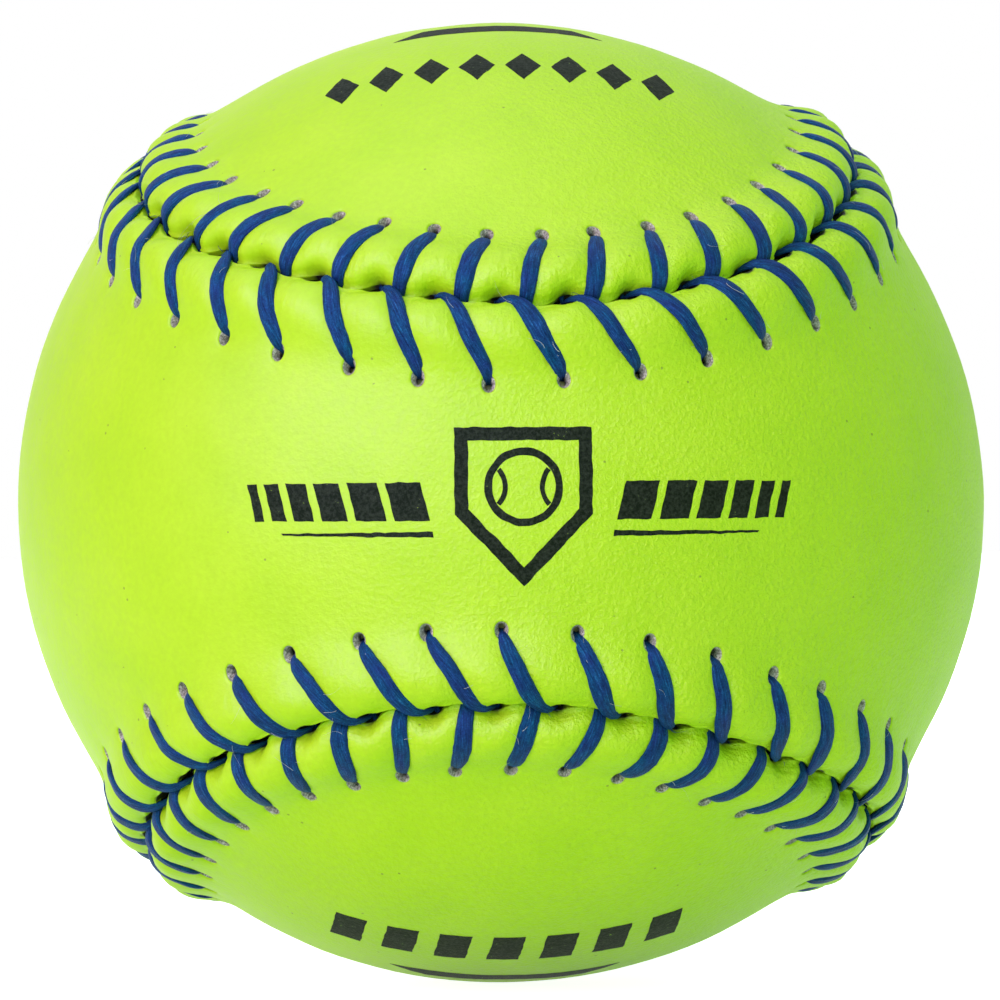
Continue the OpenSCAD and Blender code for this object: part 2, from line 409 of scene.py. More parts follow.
def column_places(side):
    """s of every column, spaced evenly from the middle of one stitch to the next."""
    holes = stitching[side].s
    before = np.append(holes[-1] - STITCHES, holes[:-1])
    after = np.append(holes[1:], holes[0] + STITCHES)
    steps = np.arange(COLUMNS // 2) / (COLUMNS // 2)
    start = ((before + holes) / 2)[:, None]
    end = ((holes + after) / 2)[:, None]
    holes = holes[:, None]
    return np.hstack([start + (holes - start) * steps, holes + (end - holes) * steps]).ravel()


def build_panel(side):
    net = Net()
    s = column_places(side)
    n = len(s)

    def skin_row(s, d, fall=0.0):
        return net.add(skin_point(side, s, d, leather_height(side, s, d) - fall), lay_of(s, d))

    lip_top = leather_height(side, s, np.full(n, NEAR_ROWS[0]))
    rows = []
    for d, fall in LIP_ROWS:
        d = np.full(n, d)
        rows.append(net.add(skin_point(side, s, d, lip_top - fall), lay_of(s, d)))
    rows += [skin_row(s, np.full(n, d)) for d in NEAR_ROWS]
    far = [skin_row(s, np.full(n, d)) for d in FAR_ROWS]
    # The lip's two outer rows face into the gap and take slot 2, which is painted shade
    for k in range(len(rows) - 1):
        net.bridge(rows[k], rows[k + 1], slot=2 if k < 2 else 0)
    for k in range(len(far) - 1):
        net.bridge(far[k], far[k + 1])

    low = {}
    for name, d, sunk in UNDER_ROWS:
        d = np.full(n, d)
        sunk_to = smooth_lookup(d, CROWN[side]) - sunk
        low[name] = net.add(skin_point(side, s, d, sunk_to), lay_of(s, d))
    # The lip's underside, in the gap, takes the painted shade too
    net.bridge(low["crest"], rows[0], slot=2)
    net.bridge(low["near"], low["crest"], slot=1)
    net.bridge(low["edge"], low["far"], slot=1)

    # The band of holes: a closed loop of indices round each hole, then rings into it
    holes = stitching[side]
    across = hole_index[:, None] * COLUMNS + np.arange(COLUMNS + 1)
    s_on = np.append(s, s[0] + STITCHES)[across]
    side_d = np.linspace(*HOLE_BAND, HOLE_SIDE_ROWS + 1)[1:-1]
    corner_s, corner_d = np.broadcast_arrays(s_on[:, :1], side_d)
    left = skin_row(corner_s, corner_d)
    right = np.roll(left, -1, axis=0)
    across = across % n
    loop = np.hstack([rows[-1][across], right, far[0][across][:, ::-1], left[:, ::-1]])
    right_s = np.broadcast_to(s_on[:, -1:], corner_s.shape)
    loop_s = np.hstack([s_on, right_s, s_on[:, ::-1], corner_s])
    inner_d = np.full(s_on.shape, HOLE_BAND[0])
    outer_d = np.full(s_on.shape, HOLE_BAND[1])
    loop_d = np.hstack([inner_d, corner_d, outer_d, corner_d[:, ::-1]])
    hole_s, hole_d = holes.s[:, None], holes.d[:, None]
    scale = PITCH * crowding(hole_s, side * hole_d)
    turn = np.arctan2(loop_d - hole_d, (loop_s - hole_s) * scale)
    reach = np.where(np.sin(turn) > 0, HOLE_FAR, HOLE_NEAR)

    def rim(spread):
        """Points round each hole, spread out from its rim."""
        return (hole_s + (HOLE_HALF_W + spread) * np.cos(turn) / scale,
                hole_d + (reach + spread) * np.sin(turn))

    last = loop
    rim_s, rim_d = rim(RIM_RINGS[0][0])
    for k in range(1, BAND_RINGS):
        t = k / BAND_RINGS
        ring = skin_row(loop_s + (rim_s - loop_s) * t, loop_d + (rim_d - loop_d) * t)
        net.bridge(last, ring)
        last = ring
    for spread, depth in RIM_RINGS:
        ring = skin_row(*rim(spread), depth)
        net.bridge(last, ring)
        last = ring
    for spread, depth in WALL_RINGS:
        ring = skin_row(*rim(spread + WALL_ROUGH * random.normal(size=turn.shape)), depth)
        net.bridge(last, ring, slot=1)
        last = ring
    near, away = low["near"][across], low["far"][across]
    sides = (1, len(side_d))
    under = np.hstack([near, np.tile(near[:, -1:], sides), away[:, ::-1], np.tile(near[:, :1], sides)])
    net.bridge(last, under, slot=1)

    tip_s = STITCHES / 4 if side == FRONT else 0.0
    tip = int(np.argmin(np.abs(s - tip_s)))
    cross_panel(net, np.roll(far[-1], -tip), RIB_PIECES, 0.0)
    cross_panel(net, np.roll(low["edge"], -tip), UNDER_PIECES, UNDER_ROWS[-1][2])
    return net


def cross_panel(net, edge, pieces, sunk):
    """Ribs across a panel, from a closed row of indices that starts at the end of a lobe."""
    points = np.concatenate(net.points)
    half = len(edge) // 2
    left = edge[:half:-1]
    right = edge[1:half]
    u = normalised(points[left])[:, None]
    v = normalised(points[right])[:, None]
    angle = np.arccos(np.clip((u * v).sum(-1, keepdims=True), -1, 1))
    t = (np.arange(1, pieces) / pieces)[None, :, None]
    direction = normalised(np.sin((1 - t) * angle) * u + np.sin(t * angle) * v)
    height = unevenness(direction) - sunk
    lay = np.broadcast_to([0.0, 0.0, MIDDLE_D], direction.shape)
    middle = net.add(direction * (BALL_R + height)[..., None], lay)
    grid = np.hstack([left[:, None], middle, right[:, None]])
    tips = [np.full((1, pieces + 1), edge[k]) for k in (0, half)]
    grid = np.vstack([tips[0], grid, tips[1]])
    if sunk:
        net.sheet(grid, slot=1)
    else:
        net.sheet(grid[::-1])


# The thread: one closed run per needle. A stitch is a leg over the leather, from its hole to
# the seam, and a hidden run under the leather to the next hole, on the other side.
# Leg tables: distance from the seam, height over the skin, width and thickness.
HOLE_RISE = ((6.75, -1.9, 0.98, 0.46), (6.72, -1.3, 1.02, 0.48), (6.66, -0.8, 1.1, 0.52),
             (6.52, -0.32, 1.18, 0.56), (6.22, 0.03, 1.28, 0.6), (5.78, 0.2, 1.42, 0.64))
LEGS = {
    FRONT: HOLE_RISE + ((5.2, 0.26, 1.54, 0.64), (4.5, 0.27, 1.62, 0.64), (3.6, 0.27, 1.68, 0.64),
                        (2.6, 0.27, 1.68, 0.64), (1.7, 0.28, 1.64, 0.64), (1.0, 0.28, 1.54, 0.62),
                        (0.45, 0.24, 1.34, 0.6), (0.1, 0.12, 1.1, 0.54), (-0.2, -0.1, 0.86, 0.48),
                        (-0.42, -0.62, 0.62, 0.42), (-0.6, -1.4, 0.46, 0.36), (-0.72, -2.1, 0.4, 0.34)),
    REAR: HOLE_RISE + ((5.2, 0.26, 1.58, 0.64), (4.5, 0.27, 1.68, 0.64), (3.6, 0.27, 1.76, 0.64),
                       (2.6, 0.27, 1.74, 0.64), (1.7, 0.26, 1.68, 0.64), (1.0, 0.22, 1.58, 0.62),
                       (0.5, 0.18, 1.48, 0.6), (0.1, 0.05, 1.38, 0.6), (-0.25, -0.25, 1.2, 0.56),
                       (-0.5, -0.7, 0.9, 0.52)),
}
HIDDEN_SHARES = np.array((0.2, 0.45, 0.7, 0.9))
HIDDEN_SUNK = 2.55
HIDDEN_SIZE = (1.0, 0.5)
THREAD_POINTS = 28
STRANDS = 7
STRAND_DEPTH = 0.045
STRAND_TURNS = 0.012
# How the strands' twist wavers along the run, how the thread's width varies, and the power that
# flattens the section, which is an ellipse at 1
TWIST_WAVER = 0.5
TWIST_WAVELENGTH = 5.3
WIDTH_VARIES = 0.02
SECTION_POWER = 0.8


def leg_points(side, i):
    """A leg's middle line: places along and from the seam, radius, widths, thicknesses."""
    d, lift, width, thick = np.array(LEGS[side]).T
    d = d + (stitching[side].d[i % STITCHES] - HOLE_ROW) * np.clip(d / HOLE_ROW, 0, 1)
    s = stitching[side].leg_s(np.full(len(d), i), d)
    swing = meeting(s)[0]
    own = np.maximum(d - side * swing * np.exp(-(d / SWING_FADE) ** 2), 0.25)
    r = BALL_R + leather_height(side, s, own) + lift
    return s, side * d, r, width * stitching[side].width[i % STITCHES], thick


def build_thread(first):
    channels = []
    seen = []
    for i in range(STITCHES):
        side = FRONT if (i + first) % 2 == 0 else REAR
        s, d, r, width, thick = leg_points(side, i)
        next_s, next_d = (v[0] for v in leg_points(-side, i + 1)[:2])
        hidden_s = s[-1] + (next_s - s[-1]) * HIDDEN_SHARES
        hidden_d = d[-1] + (next_d - d[-1]) * HIDDEN_SHARES
        hidden_r = BALL_R + smooth_lookup(hidden_d, CROWN[REAR]) - HIDDEN_SUNK
        hidden = np.ones(len(HIDDEN_SHARES))
        run_s = np.concatenate([s, hidden_s])
        run_d = np.concatenate([d, hidden_d])
        points = sewn(run_s, run_d, np.concatenate([r, hidden_r]))
        out = normalised(points)
        heading = np.gradient(out[:len(s)], axis=0)
        hidden_heading = np.tile(out[-1] - out[len(s) - 1], (len(hidden), 1))
        breadth = normalised(np.cross(out, np.concatenate([heading, hidden_heading])))
        roll = np.concatenate([np.zeros(len(s)), np.pi * HIDDEN_SHARES])[:, None]
        breadth = np.cos(roll) * breadth + np.sin(roll) * out
        widths = np.concatenate([width, HIDDEN_SIZE[0] * hidden])
        thicks = np.concatenate([thick, HIDDEN_SIZE[1] * hidden])
        channels.append(np.column_stack([points, breadth, widths, thicks]))
        seen += [True] * len(s) + [False] * len(hidden)
    a = np.concatenate(channels)
    # Points are put halfway between those that lie in view
    before, after, beyond = np.roll(a, 1, axis=0), np.roll(a, -1, axis=0), np.roll(a, -2, axis=0)
    half = (9 * (a + after) - before - beyond) / 16
    line = np.stack([a, half], axis=1).reshape(-1, a.shape[1])
    line = line[np.stack([np.ones(len(seen), bool), seen], axis=1).ravel()]

    points, breadth, width, thick = line[:, :3], line[:, 3:6], line[:, 6], line[:, 7]
    ahead = normalised(np.roll(points, -1, axis=0) - np.roll(points, 1, axis=0))
    breadth = normalised(breadth - (breadth * ahead).sum(-1, keepdims=True) * ahead)
    upward = np.cross(ahead, breadth)
    steps = np.linalg.norm(np.diff(points, axis=0, append=points[:1]), axis=1)
    run = np.cumsum(steps)
    turn = np.linspace(0, 2 * np.pi, THREAD_POINTS, endpoint=False)[None, :]
    waver = TWIST_WAVER * np.sin(run[:, None] / TWIST_WAVELENGTH + first)
    twist = STRAND_TURNS * 2 * np.pi * run[:, None] + waver
    strand = 1 + STRAND_DEPTH * np.cos(STRANDS * (turn + twist))
    wobble = 1 + WIDTH_VARIES * random.normal(size=(len(run), 1))
    flat_x = np.sign(np.cos(turn)) * np.abs(np.cos(turn)) ** SECTION_POWER
    flat_y = np.sign(np.sin(turn)) * np.abs(np.sin(turn)) ** SECTION_POWER
    x = width[:, None] / 2 * strand * wobble * flat_x
    y = thick[:, None] / 2 * strand * flat_y
    rings = points[:, None] + x[..., None] * breadth[:, None] + y[..., None] * upward[:, None]
    around = turn + twist
    lay = np.stack([0.5 * np.cos(around), 0.5 * np.sin(around),
                    np.broadcast_to(run[:, None], around.shape)], axis=-1)
    net = Net()
    index = net.add(rings, lay)
    net.bridge(index, np.roll(index, -1, axis=0))
    return net


# Materials

def node(tree, kind, values=None, **settings):
    """A new node. A value that is another node's output is linked."""
    made = tree.nodes.new("ShaderNode" + kind)
    for name, value in settings.items():
        setattr(made, name, value)
    for socket, value in (values or {}).items():
        if isinstance(value, bpy.types.NodeSocket):
            tree.links.new(value, made.inputs[socket])
        else:
            made.inputs[socket].default_value = value
    return made


def new_material(name, **values):
    """A material and its shader; a value's name is the socket's, with _ for a space."""
    made = bpy.data.materials.new(name)
    made.use_nodes = True
    shader = made.node_tree.nodes["Principled BSDF"]
    for socket, value in values.items():
        shader.inputs[socket.replace("_", " ")].default_value = value
    return made, made.node_tree, shader


def in_mm(tree, scale=(1, 1, 1)):
    """Object coordinates in millimetres, times scale."""
    place = node(tree, "TexCoord").outputs["Object"]
    scale = tuple(1000 * k for k in scale)
    return node(tree, "Mapping", {"Vector": place, "Scale": scale}).outputs[0]


def in_lay(tree, scale):
    lay = node(tree, "Attribute", attribute_name="lay").outputs["Vector"]
    return node(tree, "Mapping", {"Vector": lay, "Scale": scale}).outputs[0]


def noise(tree, vector, scale, detail=2.0, rough=0.5):
    values = {"Vector": vector, "Scale": scale, "Detail": detail, "Roughness": rough}
    return node(tree, "TexNoise", values).outputs["Fac"]


def ramp(tree, fac, *stops):
    """Maps fac through stops of (place, colour or grey level)."""
    made = node(tree, "ValToRGB", {"Fac": fac})
    stops = [(at, (c, c, c) if isinstance(c, (int, float)) else c) for at, c in stops]
    elements = made.color_ramp.elements
    while len(elements) < len(stops):
        elements.new(0.5)
    for element, (at, colour) in zip(elements, stops):
        element.position = at
        element.color = (*colour, 1)
    return made.outputs["Color"]


def mix(tree, fac, a, b, kind="MIX"):
    made = node(tree, "Mix", data_type="RGBA", blend_type=kind)
    for socket, value in ((0, fac), (6, a), (7, b)):
        if isinstance(value, bpy.types.NodeSocket):
            tree.links.new(value, made.inputs[socket])
        else:
            made.inputs[socket].default_value = (*value, 1) if isinstance(value, tuple) else value
    return made.outputs[2]


def maths(tree, operation, *values):
    return node(tree, "Math", dict(enumerate(values)), operation=operation).outputs[0]


def bump(tree, height, distance_mm, strength):
    values = {"Height": height, "Distance": distance_mm * MM, "Strength": strength}
    return node(tree, "Bump", values).outputs[0]


LIME = (0.50, 0.80, 0.006)
LIME_DEEP = (0.475, 0.78, 0.004)
LIME_PALE = (0.525, 0.815, 0.012)
SPECK = (0.20, 0.32, 0.02)
INK_DEEP = (0.004, 0.008, 0.003)
INK_PALE = (0.026, 0.034, 0.022)
# Near-black and dark brown colours of painted shade, for the pits and the cut edges in the gap
PAINTED_SHADE_DARK = (0.012, 0.012, 0.004)
PAINTED_SHADE_PALE = (0.06, 0.05, 0.02)
# The hide's grain is coarser this way
COARSE_WAY = (1.0, 0.0, -0.25)


def leather_material():
    made, tree, shader = new_material("lime_leather", Specular_IOR_Level=0.3,
                                      Specular_Tint=(1.0, 1.0, 0.9, 1.0))
    place = in_mm(tree)
    patches = noise(tree, place, 0.12, 3.0)
    mottle = noise(tree, place, 1.6, 3.0, 0.6)
    colour = ramp(tree, patches, (0.3, LIME_DEEP), (0.5, LIME), (0.72, LIME_PALE))
    shade = ramp(tree, mottle, (0.3, 0.93), (0.7, 1.0))
    colour = mix(tree, 1.0, colour, shade, "MULTIPLY")
    cells = node(tree, "TexVoronoi", {"Vector": place, "Scale": 0.55}, feature="F1").outputs["Distance"]
    rare = maths(tree, "LESS_THAN", cells, 0.07)
    some = maths(tree, "GREATER_THAN", noise(tree, place, 0.35, 1.0), 0.58)
    colour = mix(tree, maths(tree, "MULTIPLY", maths(tree, "MULTIPLY", rare, some), 0.75), colour, SPECK)
    from_seam = node(tree, "SeparateXYZ", {0: in_lay(tree, (1, 1, 1))}).outputs[2]
    # Painted shade: the leather turns near black in the pits, where the lay distance falls below -1
    painted_shaded = node(tree, "MapRange", {0: from_seam, 1: -1.0, 2: -3.5}).outputs[0]
    colour = mix(tree, painted_shaded, colour, PAINTED_SHADE_DARK)
    tree.links.new(colour, shader.inputs["Base Color"])

    grain = node(tree, "TexVoronoi", {"Vector": place, "Scale": 1.9}).outputs["Distance"]
    pores = noise(tree, place, 4.5, 2.0, 0.65)
    streaks = noise(tree, in_lay(tree, (1.9, 1.9, 0.28)), 1.0, 2.0, 0.6)
    near = node(tree, "MapRange", {0: from_seam, 1: 7.0, 2: 3.0, 3: 0.0, 4: 0.09}).outputs[0]
    height = maths(tree, "MULTIPLY_ADD", grain, 0.026, maths(tree, "MULTIPLY", pores, 0.034))
    along = node(tree, "VectorMath", {0: place, 1: COARSE_WAY}, operation="DOT_PRODUCT").outputs["Value"]
    coarse = node(tree, "MapRange", {0: along, 1: -30.0, 2: 42.0, 3: 0.3, 4: 5.2}).outputs[0]
    height = maths(tree, "MULTIPLY", height, coarse)
    height = maths(tree, "MULTIPLY_ADD", streaks, near, height)
    tree.links.new(bump(tree, height, 1.0, 1.0), shader.inputs["Normal"])
    tree.links.new(ramp(tree, mottle, (0.3, 0.42), (0.7, 0.55)), shader.inputs["Roughness"])
    return made


def cut_leather_material():
    made, tree, shader = new_material("cut_leather", Roughness=0.9, Specular_IOR_Level=0.1)
    place = in_mm(tree)
    fibres = noise(tree, place, 5.0, 4.0, 0.7)
    colour = ramp(tree, fibres, (0.33, (0.10, 0.095, 0.07)), (0.5, (0.42, 0.40, 0.37)),
                  (0.64, (0.86, 0.84, 0.82)))
    tree.links.new(colour, shader.inputs["Base Color"])
    tree.links.new(bump(tree, fibres, 0.12, 0.8), shader.inputs["Normal"])
    return made


def shaded_gap_edge_material():
    """The cut edges inside the seam, painted near black and dark brown as the shade in the gap between
    the panels.
    """
    made, tree, shader = new_material("shaded_gap_edge", Roughness=0.85, Specular_IOR_Level=0.1)
    painted_shade = noise(tree, in_mm(tree), 1.5, 3.0, 0.6)
    colour = ramp(tree, painted_shade, (0.35, PAINTED_SHADE_DARK), (0.7, PAINTED_SHADE_PALE))
    tree.links.new(colour, shader.inputs["Base Color"])
    tree.links.new(bump(tree, painted_shade, 0.15, 0.8), shader.inputs["Normal"])
    return made


def ink_material():
    made, tree, shader = new_material("black_ink", Roughness=0.6, Specular_IOR_Level=0.06,
                                      Specular_Tint=(0.8, 1.0, 0.6, 1.0))
    place = in_mm(tree)
    pinholes = noise(tree, place, 3.2, 3.0, 0.7)
    wear = noise(tree, place, 0.9, 3.0, 0.6)
    thin = maths(tree, "MULTIPLY_ADD", wear, 0.35, pinholes)
    colour = ramp(tree, thin, (0.55, INK_DEEP), (0.82, INK_PALE), (0.90, INK_PALE), (0.95, LIME_DEEP))
    tree.links.new(colour, shader.inputs["Base Color"])
    tree.links.new(bump(tree, pinholes, 0.07, 1.0), shader.inputs["Normal"])
    return made


def lint_material():
    made, tree, shader = new_material("pale_lint", Roughness=0.7, Specular_IOR_Level=0.3)
    colour = ramp(tree, noise(tree, in_mm(tree), 0.6), (0.3, (0.45, 0.48, 0.42)), (0.7, (0.8, 0.8, 0.78)))
    tree.links.new(colour, shader.inputs["Base Color"])
    return made


def thread_material():
    made, tree, shader = new_material("blue_thread", Roughness=0.5, Specular_IOR_Level=0.12,
                                      Specular_Tint=(0.3, 0.65, 0.6, 1.0))
    filaments = noise(tree, in_lay(tree, (15.0, 15.0, 0.7)), 1.0, 4.0, 0.7)
    patches = noise(tree, in_lay(tree, (1.5, 1.5, 0.4)), 1.0, 2.0)
    fuzz = noise(tree, in_mm(tree), 6.0, 2.0, 0.7)
    filaments = mix(tree, 0.3, filaments, fuzz)
    colour = ramp(tree, filaments, (0.34, (0.002, 0.007, 0.034)), (0.47, (0.007, 0.036, 0.145)),
                  (0.58, (0.012, 0.078, 0.26)), (0.72, (0.042, 0.25, 0.6)))
    tint = ramp(tree, patches, (0.32, (1.35, 0.72, 0.96)), (0.68, (0.65, 1.2, 0.96)))
    colour = mix(tree, 1.0, colour, tint, "MULTIPLY")
    tree.links.new(colour, shader.inputs["Base Color"])
    tree.links.new(bump(tree, filaments, 0.1, 1.0), shader.inputs["Normal"])
    return made


def foam_material():
    made, tree, shader = new_material("core_foam", Roughness=0.85)
    cells = noise(tree, in_mm(tree), 0.9, 4.0)
    tree.links.new(ramp(tree, cells, (0.3, (0.78, 0.72, 0.6)), (0.7, (0.88, 0.83, 0.72))),
                   shader.inputs["Base Color"])
    tree.links.new(bump(tree, cells, 0.1, 0.4), shader.inputs["Normal"])
    return made


def cement_material():
    made, tree, shader = new_material("cement", Specular_IOR_Level=0.5)
    film = noise(tree, in_mm(tree), 0.25, 4.0)
    tree.links.new(ramp(tree, film, (0.3, (0.74, 0.65, 0.36)), (0.7, (0.86, 0.8, 0.56))),
                   shader.inputs["Base Color"])
    tree.links.new(ramp(tree, film, (0.3, 0.3), (0.7, 0.6)), shader.inputs["Roughness"])
    tree.links.new(bump(tree, film, 0.2, 0.3), shader.inputs["Normal"])
    return made


leather = leather_material()
cut_leather = cut_leather_material()
shaded_gap_edge = shaded_gap_edge_material()
blue_thread = thread_material()

for name, material in (("core", foam_material()), ("cement_film", cement_material())):
    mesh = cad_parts[name].data
    mesh.materials.clear()
    mesh.materials.append(material)

panels = {}
for side, name, cad_name in ((FRONT, "front_leather", "front_panel"),
                             (REAR, "rear_leather", "rear_panel")):
    mesh = build_panel(side).mesh(name, flipped=side == REAR)
    panels[side] = new_object(name, mesh, leather, cut_leather, shaded_gap_edge)
    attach(panels[side], "root")
    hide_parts(cad_name)

for first, name, cad_name in ((0, "first_needle_thread", "first_thread"),
                              (1, "second_needle_thread", "second_thread")):
    thread = new_object(name, build_thread(first).mesh(name), blue_thread)
    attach(thread, "root")
    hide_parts(cad_name)


# The print: a plain design in thin plates of ink, laid over the leather

INK_TOP = 0.02
INK_SUNK = 0.03
INK_CELL = 0.45
# Where the rays that find the leather start, in metres from the centre
RAY_START = 0.06
# The edges of the ink waver. Both ends of a joint waver alike, so no gap opens between patches.
ink_wavers = (Waves(1.4, 0.028), Waves(1.4, 0.028))


def quad_patch(corners):
    """A grid over four corners, given anticlockwise."""
    a, b, c, d = (np.array(v, float) for v in corners)
    nu = max(2, math.ceil(np.linalg.norm(b - a) / INK_CELL))
    nv = max(2, math.ceil(np.linalg.norm(d - a) / INK_CELL))
    u = np.linspace(0, 1, nu + 1)[:, None, None]
    v = np.linspace(0, 1, nv + 1)[None, :, None]
    return (a * (1 - u) + b * u) * (1 - v) + (d * (1 - u) + c * u) * v


def arc_patch(middle, inner, outer, start, end):
    """A grid over a part of a ring, from one angle to another in degrees."""
    nu = max(6, math.ceil(math.radians(end - start) * outer / INK_CELL))
    angle = np.radians(np.linspace(start, end, nu + 1))[:, None]
    r = np.linspace(outer, inner, 3)[None, :]
    return np.stack([middle[0] + r * np.cos(angle), middle[1] + r * np.sin(angle)], axis=-1)


def outline_patches(corners, width):
    """Strips along the inside of a convex outline, given anticlockwise."""
    corners = np.array(corners, float)
    edges = np.roll(corners, -1, axis=0) - corners
    inward = normalised(np.stack([-edges[:, 1], edges[:, 0]], axis=1))
    before = np.roll(inward, 1, axis=0)
    inner = corners + width * (inward + before) / (1 + (inward * before).sum(1, keepdims=True))
    following = np.roll(np.arange(len(corners)), -1)
    return [quad_patch((corners[k], corners[j], inner[j], inner[k])) for k, j in enumerate(following)]


# The design in the middle: corners, the line's width, radii and rows
PLATE = ((-6.4, 6.9), (-6.4, -1.2), (0, -7.9), (6.4, -1.2), (6.4, 6.9))
PLATE_LINE = 1.25
RING_Y = 1.35
RING_RADII = (2.95, 3.65)
BALL_SEAM_X = 4.3
BALL_SEAM_RADII = (2.35, 2.8)
BLOCKS_START = 8.7
BLOCK_WIDTHS = (3.3, 2.9, 2.5, 2.0, 1.5, 1.0)
BLOCK_GAP = 0.8
BLOCK_SLANT = 0.9
BLOCK_ROW = (-1.75, 1.85)
UNDERLINE = ((8.4, -3.3), (23.0, -3.15), (23.2, -2.95), (8.5, -2.75))


def centre_patches():
    """A home plate with a ball in it, between rows of slanted blocks that shrink outwards."""
    patches = outline_patches(PLATE, PLATE_LINE)
    for start in (0, 180):
        patches.append(arc_patch((0, RING_Y), *RING_RADII, start, start + 180))
    patches.append(arc_patch((-BALL_SEAM_X, RING_Y), *BALL_SEAM_RADII, -40, 40))
    patches.append(arc_patch((BALL_SEAM_X, RING_Y), *BALL_SEAM_RADII, 140, 220))
    low_y, high_y = BLOCK_ROW
    x = BLOCKS_START
    shapes = [UNDERLINE]
    for width in BLOCK_WIDTHS:
        end = x + width
        shapes.append(((x, low_y), (end, low_y), (end + BLOCK_SLANT, high_y), (x + BLOCK_SLANT, high_y)))
        x = end + BLOCK_GAP
    for shape in shapes:
        patches.append(quad_patch(shape))
        patches.append(quad_patch([(-u, v) for u, v in shape[::-1]]))
    return patches


def top_patches():
    """A row of lozenges under a short bar."""
    patches = [quad_patch(((u - 1.75, 0), (u, -3.1), (u + 1.75, 0), (u, 3.1)))
               for u in np.linspace(-15.6, 15.6, 8)]
    patches.append(quad_patch(((-10.5, 11.6), (10.5, 11.6), (7.5, 15.2), (-7.5, 15.2))))
    return patches


def bottom_patches():
    """A row of slanted blocks over a short bar."""
    patches = [quad_patch(((u - 1.9, -2.9), (u + 1.2, -2.9), (u + 1.9, 2.9), (u - 1.2, 2.9)))
               for u in np.linspace(-15.5, 15.5, 7)]
    patches.append(quad_patch(((-8.0, -12.6), (8.0, -12.6), (11.5, -9.4), (-11.5, -9.4))))
    return patches


def lay_ink(net, patches, azimuth, elevation, surface):
    """Lays patches on the surface, about the point at these angles in degrees."""
    azimuth, elevation = math.radians(azimuth), math.radians(elevation)
    level = np.array([math.sin(azimuth), -math.cos(azimuth), 0])
    rightward = np.array([math.cos(azimuth), math.sin(azimuth), 0])
    out = math.cos(elevation) * level + math.sin(elevation) * np.array([0, 0, 1])
    upward = math.cos(elevation) * np.array([0, 0, 1]) - math.sin(elevation) * level
    for grid in patches:
        flat = np.concatenate([grid, np.zeros_like(grid[..., :1])], axis=-1)
        grid = grid + np.stack([waver(flat) for waver in ink_wavers], axis=-1)
        reach = np.linalg.norm(grid, axis=-1, keepdims=True) + 1e-9
        sideways = (grid[..., :1] * rightward + grid[..., 1:] * upward) / reach
        direction = np.cos(reach / BALL_R) * out + np.sin(reach / BALL_R) * sideways
        rays = direction.reshape(-1, 3)
        hits = [surface.ray_cast(Vector(v) * RAY_START, -Vector(v))[0].length / MM for v in rays]
        r = np.array(hits).reshape(*direction.shape[:2], 1)
        top = net.add(direction * (r + INK_TOP))
        bottom = net.add(direction * (r - INK_SUNK))
        net.sheet(top)
        net.sheet(bottom[::-1])
        rim = [np.concatenate([v[:, 0], v[-1, 1:], v[-2::-1, -1], v[0, -2:0:-1]])
               for v in (bottom, top)]
        net.bridge(*rim)


ink = Net()
prints = ((centre_patches(), 2.1, 0.3, FRONT), (top_patches(), 0.3, 62.0, REAR),
          (bottom_patches(), 0.3, -64.0, REAR))
for patches, azimuth, elevation, side in prints:
    mesh = panels[side].data
    surface = BVHTree.FromPolygons([v.co for v in mesh.vertices],
                                   [tuple(face.vertices) for face in mesh.polygons])
    lay_ink(ink, patches, azimuth, elevation, surface)
ink_mesh = ink.mesh("ink_print")
ink_mesh.set_sharp_from_angle(angle=math.radians(40))
print_piece = new_object("ink_print", ink_mesh, ink_material())
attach(print_piece, "root")


# Stray fibres: pale lint on the stitches and short blue frays where the legs dive

FIBRE_STEPS = 7
FIBRE_SIDES = 3
# How much of a fibre's outward lean is taken off, and its bend and lift as shares of its length
FIBRE_FLATTENED = 0.85
FIBRE_BEND = 0.55
FIBRE_LIFT = 0.12


def add_fibres(net, count, d_range, lengths, radii, lifts, along_leg, slot):
    """Curved fibres that start on the legs. along_leg sets how closely they follow them."""
    turn = np.arange(FIBRE_SIDES) * 2 * np.pi / FIBRE_SIDES
    t = np.linspace(0, 1, FIBRE_STEPS)[:, None]
    for _ in range(count):
        side = SIDES[random.integers(2)] if slot == 0 else FRONT
        i = random.integers(STITCHES)
        d = random.uniform(*d_range)
        places = np.array([d, d - 0.3])
        s = stitching[side].leg_s(np.array([i, i]), places) + random.uniform(-0.1, 0.1)
        height = leather_height(side, s, np.maximum(places, NEAR_SEAM)) + random.uniform(*lifts)
        start, on = sewn(s, side * places, BALL_R + height)
        out = normalised(start)
        ahead = normalised(on - start)
        ahead = normalised(along_leg * ahead + normalised(random.normal(size=3)))
        ahead = normalised(ahead - FIBRE_FLATTENED * (ahead @ out) * out)
        across = np.cross(out, ahead)
        length = random.uniform(*lengths)
        bend, sag = random.normal(0, FIBRE_BEND, 2) * length
        line = start + ahead * length * t + across * bend * t ** 2 + across * sag * t ** 3
        line = line + out * FIBRE_LIFT * length * random.uniform(-0.3, 1) * 4 * t * (1 - t)
        radius = random.uniform(*radii) * (1 - 0.5 * t[..., None])
        ring = np.cos(turn)[None, :, None] * across + np.sin(turn)[None, :, None] * out
        index = net.add(line[:, None] + radius * ring)
        net.bridge(index[:-1], index[1:], slot)
        for end, step in ((index[0], -1), (index[-1], 1)):
            net.quads(*[v[None] for v in (end[0], end[step], end[2 * step], end[2 * step])], slot=slot)


